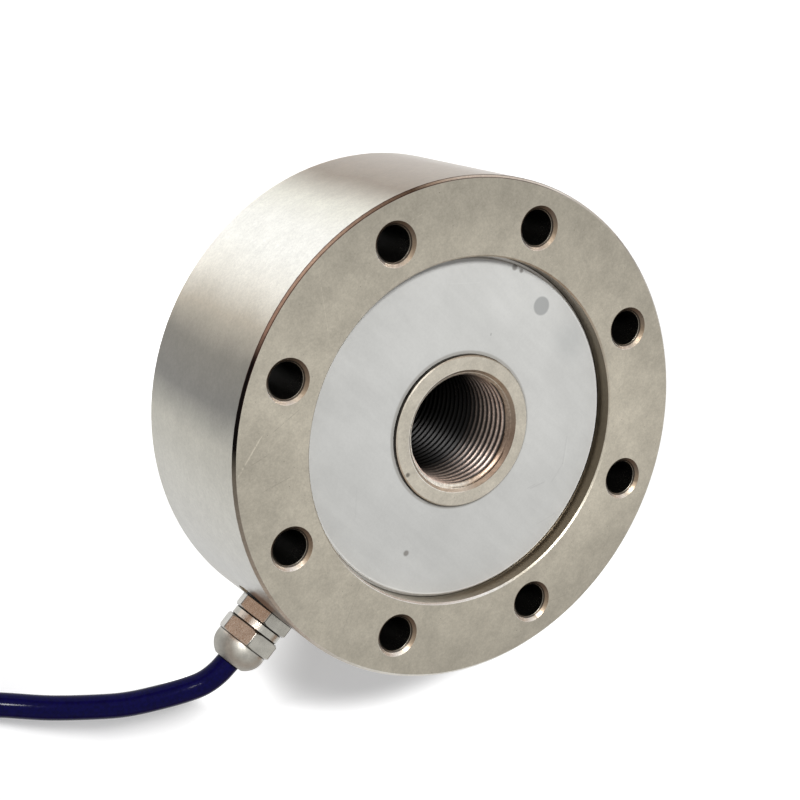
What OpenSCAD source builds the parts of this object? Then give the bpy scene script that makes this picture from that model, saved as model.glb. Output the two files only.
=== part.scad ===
// Low profile load cell of the wheel spoke type, with a cable gland and a coiled cable.
// It lies on its back face: the origin is the middle of that face, +Z is the load axis,
// and +X runs out of the cable gland.

/* [Body] */
// Outer diameter of the rim
body_d = 128; // [116:1:140]
// Height over both rim faces
body_h = 48.5; // [46:0.5:60]
// Chamfer at the edges of the rim faces
rim_chamfer = 0.7; // [0.5:0.1:2]
// Diameter of the recess in each face
recess_d = 88.5; // [86:0.5:92]
// Depth of each recess, from the rim face to the cover ledge
recess_depth = 6.5; // [5.5:0.5:8]
// Chamfer at the mouth of each recess
recess_chamfer = 0.4; // [0.2:0.1:0.8]
// Diameter of the pockets between the spokes
pocket_d = 80; // [76:1:83]
// Radius in the corners of the pockets
pocket_fillet = 3; // [1:0.5:4]

/* [Hub and spokes] */
// Outer diameter of the hub
hub_d = 39.2; // [37:0.2:42]
// How far the hub faces lie below the rim faces
hub_drop = 2; // [1:0.25:3]
// Chamfer at the outer edge of the hub faces
hub_chamfer = 0.5; // [0.2:0.1:1]
// Major diameter of the thread in the hub
thread_d = 30; // [24:0.5:31]
// Diameter of the chamfered mouth of the thread
mouth_d = 31.5; // [31.2:0.1:33]
// Number of spokes
spoke_count = 4; // [4:1:4]
// Width of each spoke
spoke_w = 16; // [12:1:18]
// Room for the board and its parts between a spoke and the cover
parts_room = 5.75; // [4.5:0.25:7]

/* [Bolt holes] */
// Number of bolt holes
hole_count = 8; // [8:4:16]
// Diameter of the bolt circle
bolt_circle_d = 107; // [104:0.5:110]
// Diameter of each bolt hole
hole_d = 9; // [7:0.5:10]
// Diameter of the countersink at both ends of a bolt hole
countersink_d = 11.2; // [10.5:0.1:12]

/* [Covers and sealant] */
// Thickness of the cover plates
cover_t = 1.5; // [1:0.1:2]
// Gap between a cover plate and the walls round it
cover_gap = 0.15; // [0.05:0.05:0.3]
// Depth of the sealant surface below the rim face, at the hub
sealant_drop_in = 3.2; // [2.5:0.1:4]
// Depth of the sealant surface below the rim face, at its outer edge
sealant_drop_out = 4; // [3:0.1:4.5]
// Width of the open groove between the sealant and the recess wall
sealant_groove = 0.8; // [0.3:0.1:1.5]

/* [Strain gauges and wiring] */
// Length of a gauge carrier, as a share of the spoke's length
gauge_share = 0.44; // [0.3:0.02:0.5]
// Height of a gauge carrier
gauge_h = 8; // [6:0.5:12]
// Thickness of a gauge carrier with its coating
gauge_t = 0.4; // [0.2:0.1:0.8]
// Diameter of the thin wires from the gauges to the board
gauge_wire_d = 0.6; // [0.4:0.1:0.8]
// Gap at each edge of the terminal board, as a share of the spoke's length
board_gap_share = 0.15; // [0.1:0.01:0.25]
// Thickness of the terminal board
board_t = 1.6; // [1:0.1:2]
// Length of a trimming resistor
resistor_l = 6; // [4:0.5:8]
// Diameter of a trimming resistor
resistor_d = 2.2; // [1.5:0.1:2.5]

/* [Cable gland] */
// Height of the gland axis above the back face
gland_z = 26; // [22:0.5:28]
// Depth of the flat seat milled into the rim
seat_depth = 0.8; // [0.5:0.1:1.5]
// Diameter of the flat seat
seat_d = 19; // [17:0.5:20]
// Diameter of the gland thread
gland_thread_d = 12; // [11:0.5:12.5]
// Clearance between the gland thread and its hole
thread_gap = 0.1; // [0.05:0.05:0.2]
// Length of the gland thread in the rim
gland_thread_l = 8; // [6:0.5:12]
// Size across the flats of both hexagons
gland_flats = 14; // [13.5:0.5:16]
// Thickness of the gasket under the gland
gasket_t = 0.8; // [0.5:0.1:1.2]
// Length of the hexagon on the gland body
gland_hex_l = 3.4; // [2.5:0.1:5]
// Diameter of the collar between the hexagons
collar_d = 13.6; // [12.5:0.1:13.8]
// Length of the collar between the hexagons
collar_l = 2.4; // [1.5:0.1:4]
// Length of the hexagon on the dome nut
nut_hex_l = 4.4; // [3.5:0.1:7]
// Length of the dome beyond that hexagon
dome_l = 5.8; // [5:0.1:8]
// Length of the straight part of the dome
dome_straight_l = 1.2; // [0.5:0.1:2]
// Diameter of the end face of the dome
dome_end_d = 8.2; // [7.8:0.1:9]
// Turn of the gland body's hexagon about its axis
gland_turn = 25; // [0:1:30]
// Turn of the dome nut about its axis
nut_turn = 24; // [0:1:30]
// Wall of the gland body at the seal insert
gland_wall = 1.2; // [1:0.1:1.4]
// Length of the seal insert
seal_l = 8; // [6:0.5:9]
// Number of fingers of the clamping cage
finger_count = 8; // [6:1:10]

/* [Cable] */
// Outer diameter of the cable
cable_d = 6.2; // [5.5:0.1:6.4]
// Clearance between the cable and what it passes through
cable_gap = 0.1; // [0.05:0.05:0.2]
// Diameter of the coil at the middle of its turns
coil_d = 74.4; // [72:0.2:80]
// Turns of the coil side by side
coil_columns = 4; // [3:1:4]
// Layers of the coil
coil_layers = 3; // [2:1:4]
// Thickness of the ties round the coil
tie_t = 1; // [0.6:0.1:1.4]
// Width of the ties round the coil
tie_w = 5; // [3:0.5:8]
// Diameter of one insulated core
core_d = 1.6; // [1.2:0.1:2]
// Length of the cores beyond the sheath
core_l = 34; // [20:1:45]
// Length of the shrink sleeve at the end of the sheath
sleeve_l = 14; // [10:1:20]
// Wall of the shrink sleeve
sleeve_t = 0.5; // [0.3:0.1:0.8]

/* [Hidden] */
$fn = 96;

// Far enough to cut right through anything
through = 200;

// The mid height of the body, its ledges and its spokes
mid_z = body_h/2;
front_ledge_z = body_h - recess_depth;
spoke_top_z = front_ledge_z - parts_room;
spoke_turn = 180/spoke_count;
hole_turn = 180/hole_count;
spoke_l = (pocket_d - hub_d)/2;
gauge_place = (sqrt(hub_d*hub_d - spoke_w*spoke_w) + sqrt(pocket_d*pocket_d - spoke_w*spoke_w))/4;
gauge_l = gauge_share*spoke_l;
board_out_d = pocket_d - 2*board_gap_share*spoke_l;
board_in_d = hub_d + 2*board_gap_share*spoke_l;

// Stations along the gland, measured out along X
seat_x = body_d/2 - seat_depth;
hex_x = seat_x + gasket_t;
collar_x = hex_x + gland_hex_l;
nut_x = collar_x + collar_l;
nut_end_x = nut_x + nut_hex_l;
dome_end_x = nut_end_x + dome_l;
spigot_d = gland_thread_d - 2*thread_gap;
spigot_end_x = nut_end_x + 0.6;
cable_hole_d = cable_d + 2*cable_gap;
insert_d = spigot_d - 2*gland_wall;
port_bottom_x = seat_x - gland_thread_l - 1;
cable_start_x = port_bottom_x + 1;

// Size and place of the coil
coil_x = 121;
coil_y = -112;
coil_mid_r = coil_d/2;
coil_half_w = coil_columns*cable_d/2;
coil_h = coil_layers*cable_d;
coil_z = tie_t;
tail_z = coil_z + coil_h + cable_d/2;
tie_1_turn = 172;
tie_2_turn = 308;
tail_start_turn = 46;
tail_sheath_angle = 28;

// Route of the cable: out of the gland, down to the surface and along it to the coil
route = [[80, 0, 26], [84, -0.4, 25.9], [88, -1.4, 25.2], [92, -3.7, 24.2], [97, -7, 22.3],
    [103, -11.3, 19.5], [108, -15.8, 16.4], [115.5, -23.6, 11], [122, -32.7, 6.7],
    [128.6, -42.8, 4.4], [135.7, -53.2, 4.1], [146.8, -68.5, 4.1], [158.5, -84.7, 4.1]];

// Small vector functions for the swept tubes
function unit(v) = v/norm(v);
function tangent(p, i) = unit(p[min(i + 1, len(p) - 1)] - p[max(i - 1, 0)]);
function ring(c, t, r, n, ref) =
    let (side = unit(cross(ref, t)), up = cross(t, side))
    [for (k = [0:n - 1]) c + r*cos(360*k/n)*side + r*sin(360*k/n)*up];

// A round tube whose middle line runs through the given points and never along ref
module swept(p, d, n, ref = [0, 0, 1]) {
    m = len(p);
    rings = [for (i = [0:m - 1]) each ring(p[i], tangent(p, i), d/2, n, ref)];
    sides = [for (i = [0:m - 2], k = [0:n - 1])
        [i*n + k, (i + 1)*n + k, (i + 1)*n + (k + 1)%n, i*n + (k + 1)%n]];
    polyhedron(rings, concat(sides, [[for (k = [0:n - 1]) k]],
        [[for (k = [0:n - 1]) m*n - 1 - k]]), convexity = 6);
}

// A point on the coil, at a turn about its middle, a radius and a height
function on_coil(turn, r, z) = [coil_x + r*cos(turn), coil_y + r*sin(turn), z];

// Everything on the gland axis is drawn along Z and laid along X
module along_x(x) {
    translate([x, 0, gland_z]) rotate([0, 90, 0]) children();
}

// A hexagon prism with its corners turned off at the outer end, or at both ends
module hex_bar(flats, l, turn, both) {
    wide_r = 1.02*flats/sqrt(3);
    end_r = 1.03*flats/2;
    c = (wide_r - end_r)*tan(30);
    intersection() {
        rotate([0, 0, turn]) cylinder(r = flats/sqrt(3), h = l, $fn = 6);
        rotate_extrude() polygon([[0, 0], [both ? end_r : wide_r, 0], [wide_r, both ? c : c/4],
            [wide_r, l - c], [end_r, l], [0, l]]);
    }
}

// The pockets between the spokes, as one flat shape with rounded corners
module pocket_shape() {
    offset(r = pocket_fillet, $fn = 24) offset(delta = -pocket_fillet) difference() {
        circle(d = pocket_d);
        circle(d = hub_d);
        for (i = [0:spoke_count - 1]) rotate(spoke_turn*(2*i + 1))
            translate([0, -spoke_w/2]) square([pocket_d, spoke_w]);
    }
}

// Turned blank of the body: rim and web with a recess in each face round the hub
module body_blank() {
    r = body_d/2;
    rr = recess_d/2;
    hr = hub_d/2;
    c = rim_chamfer;
    rc = recess_chamfer;
    hc = hub_chamfer;
    lz = recess_depth;
    rotate_extrude($fn = 180) polygon([
        [0, hub_drop], [hr - hc, hub_drop], [hr, hub_drop + hc], [hr, lz], [rr, lz],
        [rr, rc], [rr + rc, 0], [r - c, 0], [r, c],
        [r, body_h - c], [r - c, body_h], [rr + rc, body_h], [rr, body_h - rc],
        [rr, body_h - lz], [hr, body_h - lz], [hr, body_h - hub_drop - hc],
        [hr - hc, body_h - hub_drop], [0, body_h - hub_drop]]);
}

// What is cut round the web so that the spokes keep their own height
module spoke_relief(z0, z1) {
    translate([0, 0, z0]) difference() {
        cylinder(d = pocket_d, h = z1 - z0);
        translate([0, 0, -1]) cylinder(d = hub_d, h = z1 - z0 + 2);
    }
}

// A through hole with a countersink at both faces
module bolt_hole() {
    c = (countersink_d - hole_d)/2;
    translate([0, 0, -1]) cylinder(d = hole_d, h = body_h + 2);
    translate([0, 0, -c]) cylinder(d1 = countersink_d + 2*c, d2 = hole_d, h = 2*c);
    translate([0, 0, body_h - c]) cylinder(d1 = hole_d, d2 = countersink_d + 2*c, h = 2*c);
}

// The threaded bore at its major diameter, with chamfered mouths
module hub_bore() {
    c = (mouth_d - thread_d)/2;
    top = body_h - hub_drop;
    translate([0, 0, -1]) cylinder(d = thread_d, h = body_h + 2);
    translate([0, 0, hub_drop - c]) cylinder(d1 = mouth_d + 2*c, d2 = thread_d, h = 2*c);
    translate([0, 0, top - c]) cylinder(d1 = thread_d, d2 = mouth_d + 2*c, h = 2*c);
}

// Flat seat, threaded port and wiring passage for the gland
module gland_port() {
    along_x(seat_x) cylinder(d = seat_d, h = 2*seat_depth);
    along_x(port_bottom_x) cylinder(d = gland_thread_d, h = seat_x - port_bottom_x + 1);
    along_x(pocket_d/2 - 2) cylinder(d = cable_hole_d, h = port_bottom_x - pocket_d/2 + 3);
}

module body() {
    color([0.70, 0.69, 0.64]) difference() {
        body_blank();
        translate([0, 0, -1]) linear_extrude(body_h + 2) pocket_shape();
        spoke_relief(recess_depth - 0.01, recess_depth + parts_room);
        spoke_relief(spoke_top_z, front_ledge_z + 0.01);
        for (i = [0:hole_count - 1]) rotate(hole_turn*(2*i + 1))
            translate([bolt_circle_d/2, 0, 0]) bolt_hole();
        hub_bore();
        gland_port();
    }
}

// Cover plate that lies on the front ledge, round the hub
module cover_plate() {
    translate([0, 0, front_ledge_z]) difference() {
        cylinder(d = recess_d - 2*cover_gap, h = cover_t);
        translate([0, 0, -1]) cylinder(d = hub_d + 2*cover_gap, h = cover_t + 2);
    }
}

// Sealant poured over the front cover, a little lower at its outer edge
module sealant_ring() {
    z0 = front_ledge_z + cover_t;
    rr = recess_d/2 - sealant_groove;
    z_in = body_h - sealant_drop_in;
    z_out = body_h - sealant_drop_out;
    rotate_extrude($fn = 180) polygon([[hub_d/2, z0], [rr, z0], [rr, z_out - 0.3],
        [rr - 0.3, z_out], [rr - 8, z_out + (z_in - z_out)*0.3], [hub_d/2, z_in]]);
}

// Turns a piece of the front face over to the back face
module at_back() {
    translate([0, 0, body_h]) rotate([180, 0, 0]) children();
}

module front_cover() { color([0.6, 0.6, 0.6]) cover_plate(); }
module back_cover() { color([0.6, 0.6, 0.6]) at_back() cover_plate(); }
module front_sealant() { color([0.78, 0.8, 0.8]) sealant_ring(); }
module back_sealant() { color([0.78, 0.8, 0.8]) at_back() sealant_ring(); }

// The turn of the spoke that carries gauge i, and the side of it
function gauge_turn(i) = spoke_turn*(2*floor((i - 1)/2) + 1);
function gauge_side(i) = i%2 == 1 ? 1 : -1;

// A foil gauge bonded to the side of a spoke, under its coating
module strain_gauge(i) {
    side = gauge_side(i);
    color([0.78, 0.55, 0.25]) rotate(gauge_turn(i))
        translate([gauge_place - gauge_l/2, side*spoke_w/2 - (side < 0 ? gauge_t : 0), mid_z - gauge_h/2])
            cube([gauge_l, gauge_t, gauge_h]);
}

// Two thin wires from the top of each gauge, up the side of the spoke to the board
module gauge_wires() {
    z0 = mid_z + gauge_h/2;
    color([0.75, 0.2, 0.15]) for (i = [1:2*spoke_count], along = [-1, 1])
        rotate(gauge_turn(i)) translate([gauge_place + along*gauge_l/4,
                gauge_side(i)*(spoke_w + gauge_wire_d)/2, z0])
            cylinder(d = gauge_wire_d, h = spoke_top_z - z0, $fn = 16);
}

// Ring board on the spokes, with its pads for the bridge
module terminal_board() {
    color([0.1, 0.4, 0.2]) translate([0, 0, spoke_top_z]) difference() {
        cylinder(d = board_out_d, h = board_t);
        translate([0, 0, -1]) cylinder(d = board_in_d, h = board_t + 2);
    }
}

// Trimming resistors that balance the bridge, lying on the board over the spokes
module trim_resistors() {
    r = (board_in_d + board_out_d)/4;
    color([0.75, 0.65, 0.45]) for (i = [0:spoke_count - 1]) rotate(spoke_turn*(2*i + 1))
        translate([r, resistor_l/2, spoke_top_z + board_t + resistor_d/2])
            rotate([90, 0, 0]) cylinder(d = resistor_d, h = resistor_l, $fn = 24);
}

// Four core ends: out of the sheath, through the passage and up to the board
module lead_wires() {
    rise_x = (pocket_d + board_out_d)/4;
    pad_x = board_out_d/2 - 2;
    pad_z = spoke_top_z + board_t + core_d/4;
    s = core_d*0.55;
    for (k = [0:3]) {
        y = (k - 1.5)*core_d*1.05;
        dy = k < 2 ? -s : s;
        dz = k == 1 || k == 2 ? s : -s;
        color([[0.7, 0.1, 0.1], [0.1, 0.1, 0.1], [0.1, 0.5, 0.2], [0.9, 0.9, 0.9]][k])
            swept([[cable_start_x, dy, gland_z + dz], [cable_start_x - 5, dy, gland_z + dz],
                [pocket_d/2 + 3, dy, gland_z + dz], [rise_x + 0.8, (y + dy)/2, gland_z + dz + 1],
                [rise_x, y, gland_z + dz + 4], [rise_x, y, spoke_top_z - 1],
                [rise_x, y, pad_z - 0.6], [rise_x - 1, y, pad_z],
                [pad_x, y, pad_z]], core_d/2, 8, [0, 1, 0]);
    }
}

module gland_gasket() {
    color([0.1, 0.1, 0.1]) along_x(seat_x) difference() {
        cylinder(d = gland_flats - 0.4, h = gasket_t);
        translate([0, 0, -1]) cylinder(d = gland_thread_d, h = gasket_t + 2);
    }
}

// Gland body: threaded shank, hexagon, collar and the threaded spigot under the nut
module gland_body() {
    color([0.7, 0.66, 0.6]) difference() {
        union() {
            along_x(seat_x - gland_thread_l) cylinder(d = spigot_d, h = spigot_end_x - seat_x + gland_thread_l);
            along_x(hex_x) hex_bar(gland_flats, gland_hex_l, gland_turn, false);
            along_x(collar_x) cylinder(d = collar_d, h = collar_l);
        }
        along_x(seat_x - gland_thread_l - 1) cylinder(d = cable_hole_d, h = through);
        along_x(spigot_end_x - seal_l) cylinder(d = insert_d, h = through);
    }
}

// Rubber sleeve that the nut squeezes on to the cable
module seal_insert() {
    color([0.15, 0.15, 0.15]) along_x(spigot_end_x - seal_l) difference() {
        cylinder(d = insert_d, h = seal_l);
        translate([0, 0, -1]) cylinder(d = cable_hole_d, h = seal_l + 2);
    }
}

// Ring of fingers between the spigot and the cone of the nut
module clamping_cage() {
    l = dome_end_x - 1.6 - spigot_end_x;
    color([0.85, 0.85, 0.8]) along_x(spigot_end_x) difference() {
        rotate_extrude() polygon([[cable_hole_d/2, 0], [spigot_d/2 - 0.2, 0],
            [spigot_d/2 - 0.2, 0.8], [cable_hole_d/2 + 0.4, l], [cable_hole_d/2, l]]);
        for (i = [0:finger_count - 1]) rotate(360*i/finger_count)
            translate([0, -0.25, 0.8]) cube([gland_thread_d, 0.5, l]);
    }
}

// Dome nut: hexagon, rounded dome and a cone inside that closes the fingers
module dome_nut() {
    e = dome_l - dome_straight_l;
    r = gland_flats/2;
    k = e/sqrt(1 - pow(dome_end_d/2/r, 2));
    arc = [for (i = [0:12]) let (x = e*i/12) [r*sqrt(1 - pow(x/k, 2)), nut_hex_l + dome_straight_l + x]];
    cone = spigot_end_x + 0.8 - nut_x;
    l = nut_hex_l + dome_l;
    color([0.7, 0.66, 0.6]) along_x(nut_x) difference() {
        union() {
            hex_bar(gland_flats, nut_hex_l, nut_turn, true);
            rotate_extrude() polygon(concat([[0, nut_hex_l - 1], [r - 0.02, nut_hex_l - 1],
                [r - 0.02, nut_hex_l]], arc, [[0, l]]));
        }
        rotate_extrude() polygon([[0, -1], [spigot_d/2, -1], [spigot_d/2, cone],
            [cable_hole_d/2, l - 0.8], [cable_hole_d/2, l + 1], [0, l + 1]]);
    }
}

// The sheathed cable from inside the gland to the coil, cut to the coil's own shape
module cable() {
    inside = [[cable_start_x, 0, gland_z], [(cable_start_x + hex_x)/2, 0, gland_z],
        [hex_x, 0, gland_z], [(hex_x + dome_end_x)/2, 0, gland_z]];
    color([0.03, 0.03, 0.2]) difference() {
        swept(concat(inside, route), cable_d, 12);
        cable_coil_shape();
    }
}

// Outer shape of the wound turns
module cable_coil_shape() {
    r = cable_d/2;
    translate([coil_x, coil_y, coil_z]) rotate_extrude() translate([coil_mid_r, 0])
        coil_section(0);
}

// Section of the coil, grown by a distance
module coil_section(grow) {
    r = cable_d/2 + grow;
    w = coil_half_w + grow;
    z0 = -grow;
    z1 = coil_h + grow;
    translate([-w + r, z0]) square([2*(w - r), z1 - z0]);
    translate([-w, z0 + r]) square([2*w, z1 - z0 - 2*r]);
    for (x = [-w + r, w - r], z = [z0 + r, z1 - r]) translate([x, z]) circle(r = r);
}

module cable_coil() { color([0.03, 0.03, 0.2]) cable_coil_shape(); }

// A tie round the section of the coil, with its head on the outer side
module coil_tie(turn) {
    half_angle = asin(tie_w/2/coil_mid_r);
    color([0.1, 0.1, 0.1]) translate([coil_x, coil_y, coil_z]) rotate(turn - half_angle) {
        rotate_extrude(angle = 2*half_angle) translate([coil_mid_r, 0]) difference() {
            coil_section(tie_t);
            coil_section(0);
        }
        rotate(half_angle) translate([coil_mid_r + coil_half_w + tie_t/2, -tie_w*0.6, coil_h/2 - 2])
            cube([tie_t/2 + 3, tie_w*1.2, 4]);
    }
}
module coil_tie_1() { coil_tie(tie_1_turn); }
module coil_tie_2() { coil_tie(tie_2_turn); }

// Turn angle that covers a length along the middle of the coil
function tail_angle(l) = l/coil_mid_r*180/PI;
tail_end_turn = tail_start_turn - tail_sheath_angle;
sleeve_start_turn = tail_end_turn + tail_angle(sleeve_l*0.6);
sleeve_end_turn = tail_end_turn - tail_angle(sleeve_l*0.4);
sleeve_lift = sleeve_t + cable_gap;

// Points of an arc on top of the coil, from one turn to the next
function tail_arc(a0, a1, n, across, up0, up1) = [for (i = [0:n]) let (f = i/max(n, 1))
    on_coil(a0 + (a1 - a0)*f, coil_mid_r + across, tail_z + up0 + (up1 - up0)*f)];

// The free end of the sheath: it lies on the coil and rises by the wall of its sleeve
module cable_tail() {
    rise = tail_arc(tail_start_turn, sleeve_start_turn + 2, 3, 0, 0, sleeve_lift);
    level = tail_arc(sleeve_start_turn, tail_end_turn, 2, 0, sleeve_lift, sleeve_lift);
    color([0.03, 0.03, 0.2]) swept(concat(rise, level), cable_d, 12);
}

// Shrink sleeve over the end of the sheath and the roots of the cores
module shrink_sleeve() {
    bore_d = cable_d + 2*cable_gap;
    lift = sleeve_lift;
    color([0.05, 0.05, 0.05]) difference() {
        swept(tail_arc(sleeve_start_turn, sleeve_end_turn, 4, 0, lift, lift), bore_d + 2*sleeve_t, 12);
        swept(tail_arc(sleeve_start_turn + 2, sleeve_end_turn - 2, 6, 0, lift, lift), bore_d, 12);
    }
}

// One core of the four: it leaves the sheath, drops to the coil and spreads a little
module core(k) {
    side = k < 2 ? -1 : 1;
    upper = k == 1 || k == 2;
    low = core_d/2 - cable_d/2;
    a0 = tail_end_turn - tail_angle(0.2);
    a1 = sleeve_end_turn - tail_angle(5);
    a2 = sleeve_end_turn - tail_angle(11);
    a3 = tail_end_turn - tail_angle(core_l);
    root_up = sleeve_lift + 0.55*core_d*(upper ? 1 : -1);
    mid_up = low + 0.2*core_d + (upper ? 0.95*core_d : 0);
    swept(concat(tail_arc(a0, sleeve_end_turn, 2, 0.55*core_d*side, root_up, root_up),
        tail_arc(a1, a1, 0, (upper ? 0.6 : 1.65)*core_d*side, mid_up, mid_up),
        tail_arc(a2, a3, 3, (k - 1.5)*1.25*core_d, low, low)), core_d, 8);
}
module red_core() { color([0.7, 0.1, 0.1]) core(0); }
module black_core() { color([0.1, 0.1, 0.1]) core(1); }
module green_core() { color([0.1, 0.5, 0.2]) core(2); }
module white_core() { color([0.9, 0.9, 0.9]) core(3); }

body();
front_cover();
front_sealant();
back_cover();
back_sealant();
strain_gauge(1);  // strain_gauge_1
strain_gauge(2);  // strain_gauge_2
strain_gauge(3);  // strain_gauge_3
strain_gauge(4);  // strain_gauge_4
strain_gauge(5);  // strain_gauge_5
strain_gauge(6);  // strain_gauge_6
strain_gauge(7);  // strain_gauge_7
strain_gauge(8);  // strain_gauge_8
gauge_wires();
terminal_board();
trim_resistors();
lead_wires();
gland_gasket();
gland_body();
seal_insert();
clamping_cage();
dome_nut();
cable();
cable_coil();
coil_tie_1();
coil_tie_2();
cable_tail();
shrink_sleeve();
red_core();
black_core();
green_core();
white_core();
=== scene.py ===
import math

import bmesh
import bpy
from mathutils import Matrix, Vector


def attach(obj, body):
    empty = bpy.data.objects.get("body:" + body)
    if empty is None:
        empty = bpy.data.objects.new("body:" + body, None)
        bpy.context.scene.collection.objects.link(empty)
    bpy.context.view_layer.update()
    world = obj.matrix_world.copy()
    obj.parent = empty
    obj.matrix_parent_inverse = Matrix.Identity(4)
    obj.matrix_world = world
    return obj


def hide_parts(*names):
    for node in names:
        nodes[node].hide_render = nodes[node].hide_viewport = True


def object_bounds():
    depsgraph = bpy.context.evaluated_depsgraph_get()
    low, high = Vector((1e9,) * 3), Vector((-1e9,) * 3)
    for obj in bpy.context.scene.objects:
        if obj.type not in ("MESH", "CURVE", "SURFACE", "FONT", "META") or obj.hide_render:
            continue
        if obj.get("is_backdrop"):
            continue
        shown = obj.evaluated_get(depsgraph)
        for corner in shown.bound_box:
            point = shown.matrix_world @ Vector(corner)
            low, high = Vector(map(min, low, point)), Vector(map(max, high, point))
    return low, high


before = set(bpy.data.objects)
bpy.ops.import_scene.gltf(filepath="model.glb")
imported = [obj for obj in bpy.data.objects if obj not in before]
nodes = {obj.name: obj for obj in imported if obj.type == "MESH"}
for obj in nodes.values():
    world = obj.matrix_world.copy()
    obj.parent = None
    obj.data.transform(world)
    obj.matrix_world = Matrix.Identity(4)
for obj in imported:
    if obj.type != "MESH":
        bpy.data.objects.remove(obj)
mm = 0.001


def plain(value):
    if isinstance(value, (list, tuple, Vector)):
        return [plain(v) for v in value]
    return round(float(value), 6)


sizeAtLoad = plain([list(v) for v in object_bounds()])

# camera

cameraPlan = {
    "lens": 72.45, "shift": (-0.0012, -0.0062), "place": (0.065489, -0.232526, 0.366106),
    "turn": (-15.765, -31.121, 134.827),  # degrees
}

cameraData = bpy.data.cameras.new("camera")
cameraData.lens = cameraPlan["lens"]
cameraData.sensor_width = 36
cameraData.shift_x, cameraData.shift_y = cameraPlan["shift"]
cameraData.clip_start = 0.01
cameraData.clip_end = 10
camera = bpy.data.objects.new("camera", cameraData)
camera.location = cameraPlan["place"]
camera.rotation_euler = [math.radians(a) for a in cameraPlan["turn"]]
bpy.context.scene.collection.objects.link(camera)
bpy.context.scene.camera = camera
bpy.context.scene.view_settings.view_transform = "Standard"
print("camera placed")

# cable

cablePlan = {
    "start": (56.0, 0.0, 26.0),
    "diameter": 6.2,
    "coilCentre": (121.0, -112.0),
    "radii": (46.5, 40.3, 34.1, 27.9),
    "heights": (4.1, 10.3, 16.5),
    "topHeight": 22.7,
    "tailRadius": 37.2,
    "entryAngle": 36.0,
    "tailTo": 18.0,
    "pointsPerTurn": 48,
    "route": (
        (80, 0, 26), (84, -0.4, 25.9), (88, -1.4, 25.2), (92, -3.7, 24.2), (97, -7, 22.3),
        (103, -11.3, 19.5), (108, -15.8, 16.4), (115.5, -23.6, 11), (122, -32.7, 6.7),
        (128.6, -42.8, 4.4), (135.7, -53.2, 4.1), (146.8, -68.5, 4.1), (158.5, -84.7, 4.1)),
}


def smoothStep(t):
    t = min(max(t, 0.0), 1.0)
    return t * t * (3 - 2 * t)


def throughPoints(points, steps):
    # a Catmull-Rom curve through the given points
    pts = [Vector(p) for p in points]
    pts = [pts[0] * 2 - pts[1]] + pts + [pts[-1] * 2 - pts[-2]]
    out = []
    for i in range(1, len(pts) - 2):
        a, b, c, d = pts[i - 1:i + 3]
        for k in range(steps):
            t = k / steps
            p = b * 2 + (c - a) * t
            p += (a * 2 - b * 5 + c * 4 - d) * t * t
            p += (b * 3 - a - c * 3 + d) * t * t * t
            out.append(p * 0.5)
    out.append(pts[-2])
    return out


def coilPoint(radius, angle, height):
    cx, cy = cablePlan["coilCentre"]
    a = math.radians(angle)
    return Vector((cx + radius * math.cos(a), cy + radius * math.sin(a), height))


def cablePoints():
    plan = cablePlan
    points = [Vector(plan["start"])]
    points += throughPoints(plan["route"], 6)
    radii = []
    heights = []
    for layer, height in enumerate(plan["heights"]):
        order = plan["radii"] if layer % 2 == 0 else plan["radii"][::-1]
        radii += list(order)
        heights += [height] * len(order)
    radii.append(plan["tailRadius"])
    heights.append(plan["topHeight"])
    count = plan["pointsPerTurn"]
    for turn in range(len(radii) - 1):
        for k in range(1 if turn == 0 else 0, count):
            u = 360 * k / count
            angle = plan["entryAngle"] - u
            lift = smoothStep((u - 270) / 45)
            side = smoothStep((u - 315) / 35)
            height = heights[turn] + (heights[turn + 1] - heights[turn]) * lift
            radius = radii[turn] + (radii[turn + 1] - radii[turn]) * side
            points.append(coilPoint(radius, angle, height))
    last = plan["entryAngle"]
    steps = 10
    for k in range(steps + 1):
        t = k / steps
        angle = last + (plan["tailTo"] - last) * t
        points.append(coilPoint(radii[-1], angle, heights[-1] + 0.6 * t))
    return points


def finishMesh(name, mesh, sharpAngle):
    data = bpy.data.meshes.new(name)
    mesh.to_mesh(data)
    mesh.free()
    data.shade_smooth()
    data.set_sharp_from_angle(angle=math.radians(sharpAngle))
    obj = bpy.data.objects.new(name, data)
    bpy.context.scene.collection.objects.link(obj)
    return obj


def addTube(name, points, radius, around, swell=None):
    # a round tube with closed ends; swell widens or narrows it along its length
    line = [Vector(p) for p in points]
    side = (line[1] - line[0]).orthogonal().normalized()
    mesh = bmesh.new()
    rings = []
    for i, place in enumerate(line):
        ahead = (line[min(i + 1, len(line) - 1)] - line[max(i - 1, 0)]).normalized()
        side = (side - ahead * side.dot(ahead)).normalized()
        up = ahead.cross(side)
        r = radius * (swell[i] if swell else 1.0)
        ring = []
        for k in range(around):
            a = 2 * math.pi * k / around
            out = side * (r * math.cos(a)) + up * (r * math.sin(a))
            ring.append(mesh.verts.new((place + out) * mm))
        rings.append(ring)
    for low, high in zip(rings, rings[1:]):
        for k in range(around):
            n = (k + 1) % around
            mesh.faces.new((low[k], low[n], high[n], high[k]))
    mesh.faces.new(rings[0][::-1])
    mesh.faces.new(rings[-1])
    bmesh.ops.recalc_face_normals(mesh, faces=mesh.faces)
    return finishMesh(name, mesh, 60)


cablePath = cablePoints()
cableLength = sum((b - a).length for a, b in zip(cablePath, cablePath[1:]))
cable = addTube("cableRun", cablePath, cablePlan["diameter"] / 2, 28)
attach(cable, "root")
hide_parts("cable", "cable_coil", "cable_tail")
print("cable", round(cableLength / 1000, 3), "m", len(cablePath), "points")

# shader maths


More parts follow.
